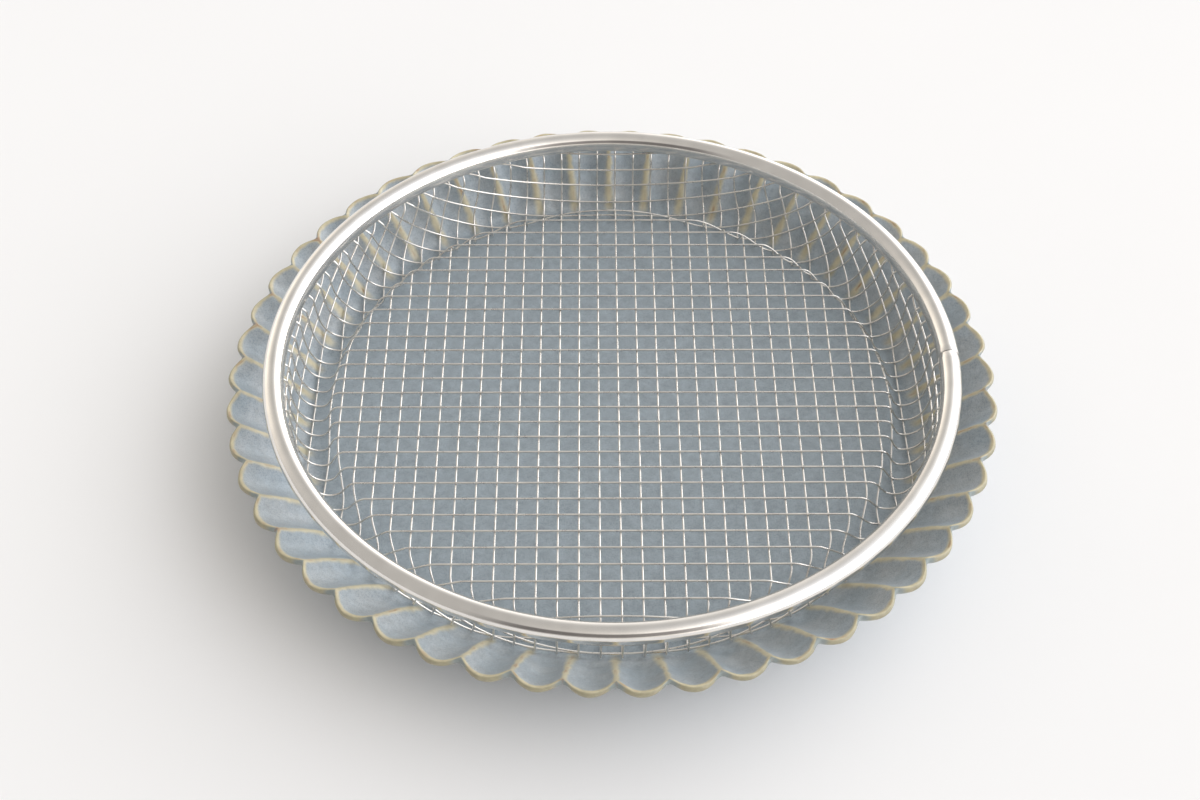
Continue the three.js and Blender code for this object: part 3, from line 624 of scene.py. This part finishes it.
class PressedMesh:
    """The welded mesh, pressed into a tray. Its wires don't stretch and its squares shear, so each
    knot of a fine net is laid one step from its two neighbours, outwards from the flat floor."""

    # Handles of the curves in the tray's section: at the floor's edge, either side of the groove, at the
    # top of the wall, across and down, and at both ends of the step behind the skirt
    FLOOR_HANDLE = 3.5 * MM
    GROOVE_HANDLES = (4.2 * MM, 7.1 * MM)
    WALL_HANDLE = (0.35 * MM, 9.2 * MM)
    FLARE_HANDLE = 1.2 * MM

    # How finely the curves are drawn, the net is laid and a knot is brought to its place
    CURVE_POINTS = 120
    KNOTS_PER_SQUARE = 5
    ROUNDS = 12

    def __init__(self, strainer):
        floor = strainer.foot_radius - strainer.drop_run
        foot, depth = strainer.foot_radius, -strainer.foot_depth
        wall, top = foot + strainer.wall_run, strainer.wall_rise - strainer.foot_depth
        self.slot_radius = wall + strainer.flare_run
        self.slot_height = top + strainer.flare_rise
        inner, outer = self.GROOVE_HANDLES
        lean, down = self.WALL_HANDLE
        corners = [
            [(floor, 0), (floor + self.FLOOR_HANDLE, 0), (foot - inner, depth), (foot, depth)],
            [(foot, depth), (foot + outer, depth), (wall - lean, top - down), (wall, top)],
            [(wall, top), (wall, top + self.FLARE_HANDLE),
             (self.slot_radius, self.slot_height - self.FLARE_HANDLE), (self.slot_radius, self.slot_height)],
        ]
        runs = [np.array([(0, 0), (floor, 0)])]
        runs += [cubic(*np.array(four), self.CURVE_POINTS) for four in corners]
        to_slot = np.concatenate(runs)
        beyond = [(self.slot_radius, self.slot_height + 2 * strainer.pitch)]
        self.section = np.concatenate([to_slot, beyond])
        self.along = np.concatenate([[0], np.cumsum(np.hypot(*np.diff(self.section, axis=0).T))])
        self.slot_length = self.along[-2]
        self.floor_radius = floor
        self.step = strainer.pitch / self.KNOTS_PER_SQUARE
        self.lay_net()

    def surface(self, distance, angle, offset=0):
        """Places at a distance along the section and an angle round the axis, off the surface by
        an offset towards the inside of the tray."""
        def section_at(length):
            return np.array([np.interp(length, self.along, self.section[:, axis]) for axis in (0, 1)])

        near = 0.3 * MM
        radius, height = section_at(distance)
        slope_r, slope_z = section_at(distance + near) - section_at(distance - near)
        size = np.maximum(np.hypot(slope_r, slope_z), 1e-9)
        slope_r = np.where(distance < near, 1, slope_r / size)
        slope_z = np.where(distance < near, 0, slope_z / size)
        radius = radius - slope_z * offset
        places = np.stack([radius * np.cos(angle), radius * np.sin(angle), height + slope_r * offset], -1)
        return places, (slope_r, slope_z)

    def lay_net(self):
        """Lays a quarter of the net, diagonal by diagonal. Newton's method brings each new knot to one
        step from both of its neighbours."""
        count = int(self.along[-1] / self.step)
        steps = np.arange(count + 1)
        u, v = np.meshgrid(steps, steps, indexing="ij")
        self.distance = np.hypot(u, v) * self.step
        self.angle = np.arctan2(v, u)
        laid = (self.distance <= self.floor_radius) | (u == 0) | (v == 0)
        self.distance[~laid] = np.nan
        for diagonal in range(2, 2 * count + 1):
            i = np.arange(max(1, diagonal - count), min(count, diagonal - 1) + 1)
            j = diagonal - i
            open_places = ~laid[i, j]
            i, j = i[open_places], j[open_places]
            corners = [(i - 1, j), (i, j - 1), (i - 1, j - 1)]
            reach = np.max([self.distance[c] for c in corners], axis=0)
            inside = reach < self.along[-1] - 2 * self.step
            i, j = i[inside], j[inside]
            if not len(i):
                continue
            a, b, between = [(self.distance[c], self.angle[c]) for c in ((i - 1, j), (i, j - 1), (i - 1, j - 1))]
            at_a, at_b = self.surface(*a)[0], self.surface(*b)[0]
            distance, angle = a[0] + b[0] - between[0], a[1] + b[1] - between[1]
            for _ in range(self.ROUNDS):
                here, (slope_r, slope_z) = self.surface(distance, angle)
                radius = np.hypot(here[:, 0], here[:, 1])
                outward = np.stack([slope_r * np.cos(angle), slope_r * np.sin(angle), slope_z], -1)
                around = np.stack([-radius * np.sin(angle), radius * np.cos(angle), 0 * angle], -1)
                to_a, to_b = here - at_a, here - at_b
                miss_a = ((to_a ** 2).sum(1) - self.step ** 2) / 2
                miss_b = ((to_b ** 2).sum(1) - self.step ** 2) / 2
                oa, ra = (to_a * outward).sum(1), (to_a * around).sum(1)
                ob, rb = (to_b * outward).sum(1), (to_b * around).sum(1)
                size = oa * rb - ra * ob
                distance = distance - (miss_a * rb - miss_b * ra) / size
                angle = angle - (miss_b * oa - miss_a * ob) / size
            self.distance[i, j], self.angle[i, j] = distance, angle

    def knots(self, u, v):
        """Distance and angle at places of the net, which may lie between its lines."""
        across, along = np.abs(u) / self.step, np.abs(v) / self.step
        flat = np.hypot(u, v)
        i = np.minimum(across.astype(int), self.distance.shape[0] - 2)
        j = np.minimum(along.astype(int), self.distance.shape[1] - 2)
        s, t = across - i, along - j

        def between(grid):
            low = grid[i, j] * (1 - s) + grid[i + 1, j] * s
            high = grid[i, j + 1] * (1 - s) + grid[i + 1, j + 1] * s
            return low * (1 - t) + high * t

        on_floor = flat < self.floor_radius - 2 * self.step
        distance = np.where(on_floor, flat, between(self.distance))
        angle = np.where(on_floor, np.arctan2(np.abs(v), np.abs(u)), between(self.angle))
        angle = np.where(u < 0, math.pi - angle, angle)
        return distance, np.where(v < 0, -angle, angle)


def wire_places(tray, strainer, shift, names):
    """Places of the wires of one direction under the name of the CAD node that holds them: in twos
    from the middle outwards, and the ones along the wall together."""
    reach = tray.slot_length - strainer.edge_trim
    most = math.ceil(reach / strainer.pitch)
    places = [index * strainer.pitch + shift for index in range(-most, most + 1)]
    groups = {}
    for name, side in zip(names, (-1, 1)):
        outwards = sorted((p for p in places if p * side > 0 and abs(p) < reach), key=abs)
        pairs = sum(abs(place) < tray.floor_radius for place in outwards) // 2
        for pair in range(pairs):
            groups[f"{name}_{pair + 1:02d}"] = outwards[2 * pair:2 * pair + 2]
        groups[f"{name}_edge"] = outwards[2 * pairs:]
    return groups


def wire_route(tray, strainer, place, across, offset, end_height):
    """Points along one wire on its side of the mesh, with its ends turned up into the rim."""
    step = strainer.pitch / 6
    most = math.ceil(tray.along[-1] / step)
    run = np.arange(-most, most + 1) * step
    line = np.full(run.shape, place)
    distance, angle = tray.knots(run, line) if across else tray.knots(line, run)
    inside = (distance < tray.slot_length) & (np.abs(run) < tray.slot_length)
    first = most - int(np.argmin(inside[most::-1])) + 1
    last = most + int(np.argmin(inside[most:])) - 1
    points = tray.surface(distance[first:last + 1], angle[first:last + 1], offset)[0]
    reach = tray.slot_radius - offset
    ends = [
        [(reach * math.cos(angle[end]), reach * math.sin(angle[end]), z) for z in (tray.slot_height, end_height)]
        for end in (first, last)]
    return np.concatenate([ends[0][::-1], points, ends[1]])


class STRAINERPLATE_OT_wires(Operator):
    """Model the mesh, one piece for each CAD node: the wires from left to right lie inside, welded to those below"""

    bl_idname = "strainer_plate.wires"
    bl_label = "Welded Mesh"

    def execute(self, context):
        strainer = context.scene.strainer_settings
        tray = PressedMesh(strainer)
        lift = strainer.floor_height
        end_height = rim_high.z - strainer.tube / 2 - strainer.wire_end_drop - lift
        material = wire_material("stainless_wire_drawn", strainer.wire_steel, 0.22, 0.36)
        offset = strainer.wire / 2 * (1 - strainer.weld)
        layers = (
            (strainer.line_shift, -offset, False, ("line_wires_left", "line_wires_right")),
            (strainer.cross_shift, offset, True, ("cross_wires_front", "cross_wires_back")),
        )
        for shift, offset, across, names in layers:
            for node, wires in wire_places(tray, strainer, shift, names).items():
                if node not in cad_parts:
                    raise RuntimeError(f"the CAD model has no wires named {node}")
                curve = bpy.data.curves.new(node.replace("wires", "mesh"), "CURVE")
                curve.dimensions = "3D"
                curve.bevel_depth = strainer.wire / 2
                curve.bevel_resolution = 2
                curve.use_fill_caps = True
                for place in wires:
                    route = wire_route(tray, strainer, place, across, offset, end_height)
                    spline = curve.splines.new("POLY")
                    spline.points.add(len(route) - 1)
                    for point, (x, y, z) in zip(spline.points, route):
                        point.co = (x, y, z + lift, 1)
                piece = bpy.data.objects.new(curve.name, curve)
                context.collection.objects.link(piece)
                bpy.ops.object.select_all(action="DESELECT")
                piece.select_set(True)
                context.view_layer.objects.active = piece
                bpy.ops.object.convert(target="MESH")
                piece = context.object
                bpy.ops.object.mode_set(mode="EDIT")
                bpy.ops.mesh.select_all(action="SELECT")
                bpy.ops.mesh.remove_doubles(threshold=0.001 * MM)
                bpy.ops.object.mode_set(mode="OBJECT")
                bpy.ops.object.shade_smooth()
                finish_piece(piece, material, node, "strainer")
        return {"FINISHED"}


def floor_material(stage):
    """Matt laminate table top, pale and faintly clouded."""
    material, tree, shader = new_material("table_top_matt_laminate")
    place = add_node(tree, "ShaderNodeTexCoord").outputs["Object"]
    clouds = add_node(tree, "ShaderNodeTexNoise", {"Vector": place, "Scale": 1 / 0.2, "Detail": 3}).outputs["Fac"]
    tone = add_node(tree, "ShaderNodeMapRange", {0: clouds, 1: 0.3, 2: 0.7, 3: 0.985, 4: 1.0}).outputs[0]
    base = add_node(
        tree, "ShaderNodeMix", {"Factor": 1.0, "A": stage.floor, "B": tone}, data_type="RGBA",
        blend_type="MULTIPLY").outputs["Result"]
    tree.links.new(base, shader.inputs["Base Color"])
    shader.inputs["Roughness"].default_value = 0.65
    shader.inputs["Specular IOR Level"].default_value = 0.2
    return material


class STRAINERPLATE_OT_stage(Operator):
    """Set the floor, the light and the camera"""

    bl_idname = "strainer_plate.stage"
    bl_label = "Stage"

    def execute(self, context):
        stage = context.scene.stage_settings
        scene = context.scene
        bpy.ops.object.select_all(action="DESELECT")
        bpy.ops.mesh.primitive_circle_add(vertices=128, radius=12, fill_type="NGON", location=(0, 0, 0))
        floor = context.object
        floor.name = floor.data.name = "table_top"
        floor.data.materials.append(floor_material(stage))

        # A plain room with windows all along its right side, and a dark patch behind the camera
        world = bpy.data.worlds.new("daylit_room")
        scene.world = world
        world.use_nodes = True
        tree = world.node_tree
        towards = add_node(tree, "ShaderNodeTexCoord").outputs["Generated"]
        light = Vector(stage.room[:3])
        for place, sharpness, strength, code in ROOM_LIGHTS:
            facing = add_node(
                tree, "ShaderNodeVectorMath", {0: towards, 1: Vector(place).normalized()},
                operation="DOT_PRODUCT").outputs["Value"]
            facing = add_node(tree, "ShaderNodeMath", {0: facing, 1: 0.0}, operation="MAXIMUM").outputs[0]
            facing = add_node(tree, "ShaderNodeMath", {0: facing, 1: sharpness}, operation="POWER").outputs[0]
            glow = add_node(
                tree, "ShaderNodeVectorMath", {0: Vector(linear(code)[:3]) * strength, "Scale": facing},
                operation="SCALE").outputs[0]
            light = add_node(tree, "ShaderNodeVectorMath", {0: light, 1: glow}, operation="ADD").outputs[0]
        axes = add_node(tree, "ShaderNodeSeparateXYZ", {0: towards}).outputs
        aside = add_node(tree, "ShaderNodeMath", {0: axes["X"], 1: axes["Y"]}, operation="ARCTAN2").outputs[0]
        aside = add_node(tree, "ShaderNodeMath", {0: aside}, operation="ABSOLUTE").outputs[0]
        behind = add_node(
            tree, "ShaderNodeMapRange", {0: aside, 1: math.radians(135), 2: math.radians(158), 3: 0, 4: 0.8},
            interpolation_type="SMOOTHSTEP").outputs[0]
        low, high = [add_node(
            tree, "ShaderNodeMapRange", {0: axes["Z"], 1: outside, 2: inside, 3: 0, 4: 1},
            interpolation_type="SMOOTHSTEP").outputs[0] for outside, inside in ((0.08, 0.2), (0.74, 0.62))]
        dark = add_node(tree, "ShaderNodeMath", {0: low, 1: high}, operation="MULTIPLY").outputs[0]
        dark = add_node(tree, "ShaderNodeMath", {0: dark, 1: behind}, operation="MULTIPLY").outputs[0]
        room = add_node(
            tree, "ShaderNodeMix", {"Factor": dark, "A": light, "B": stage.shade}, data_type="RGBA").outputs["Result"]
        tree.links.new(room, tree.nodes["Background"].inputs["Color"])

        # The camera's own axes: back along its view, level with the table, and turned by the roll
        back = Vector((
            math.sin(stage.azimuth) * math.cos(stage.elevation),
            -math.cos(stage.azimuth) * math.cos(stage.elevation),
            math.sin(stage.elevation)))
        level = Vector((math.cos(stage.azimuth), math.sin(stage.azimuth), 0))
        over = back.cross(level)
        right = math.cos(stage.roll) * level + math.sin(stage.roll) * over
        up = math.cos(stage.roll) * over - math.sin(stage.roll) * level
        turned = Matrix((right, up, back)).transposed()
        bpy.ops.object.camera_add(location=stage.place, rotation=turned.to_euler())
        camera = context.object
        camera.data.sensor_fit = "HORIZONTAL"
        camera.data.sensor_width = 36
        camera.data.lens = stage.lens
        camera.data.clip_start = 0.01
        scene.camera = camera
        scene.view_settings.view_transform = "Standard"
        return {"FINISHED"}


class STRAINERPLATE_PT_panel(Panel):
    """The pieces, in the order in which they are made, with their sizes and colours"""

    bl_label = "Strainer Plate"
    bl_idname = "STRAINERPLATE_PT_panel"
    bl_space_type = "VIEW_3D"
    bl_region_type = "UI"
    bl_category = "Strainer Plate"

    def draw(self, context):
        layout = self.layout
        for operator in OPERATORS:
            layout.operator(operator.bl_idname)
        for settings in SETTINGS:
            box = layout.box()
            group = getattr(context.scene, settings)
            for name in group.bl_rna.properties.keys():
                if name not in ("rna_type", "name"):
                    box.prop(group, name)


OPERATORS = (
    STRAINERPLATE_OT_plate, STRAINERPLATE_OT_rim, STRAINERPLATE_OT_core, STRAINERPLATE_OT_wires,
    STRAINERPLATE_OT_stage)
SETTINGS = {
    "plate_settings": PlateSettings, "strainer_settings": StrainerSettings, "stage_settings": StageSettings}


def register():
    for name, group in SETTINGS.items():
        bpy.utils.register_class(group)
        setattr(bpy.types.Scene, name, PointerProperty(type=group))
    for operator in OPERATORS:
        bpy.utils.register_class(operator)
    bpy.utils.register_class(STRAINERPLATE_PT_panel)


def unregister():
    bpy.utils.unregister_class(STRAINERPLATE_PT_panel)
    for operator in reversed(OPERATORS):
        bpy.utils.unregister_class(operator)
    for name, group in SETTINGS.items():
        delattr(bpy.types.Scene, name)
        bpy.utils.unregister_class(group)


def main():
    register()
    bpy.ops.strainer_plate.plate()
    bpy.ops.strainer_plate.rim()
    bpy.ops.strainer_plate.core()
    bpy.ops.strainer_plate.wires()
    bpy.ops.strainer_plate.stage()


if __name__ == "__main__":
    main()
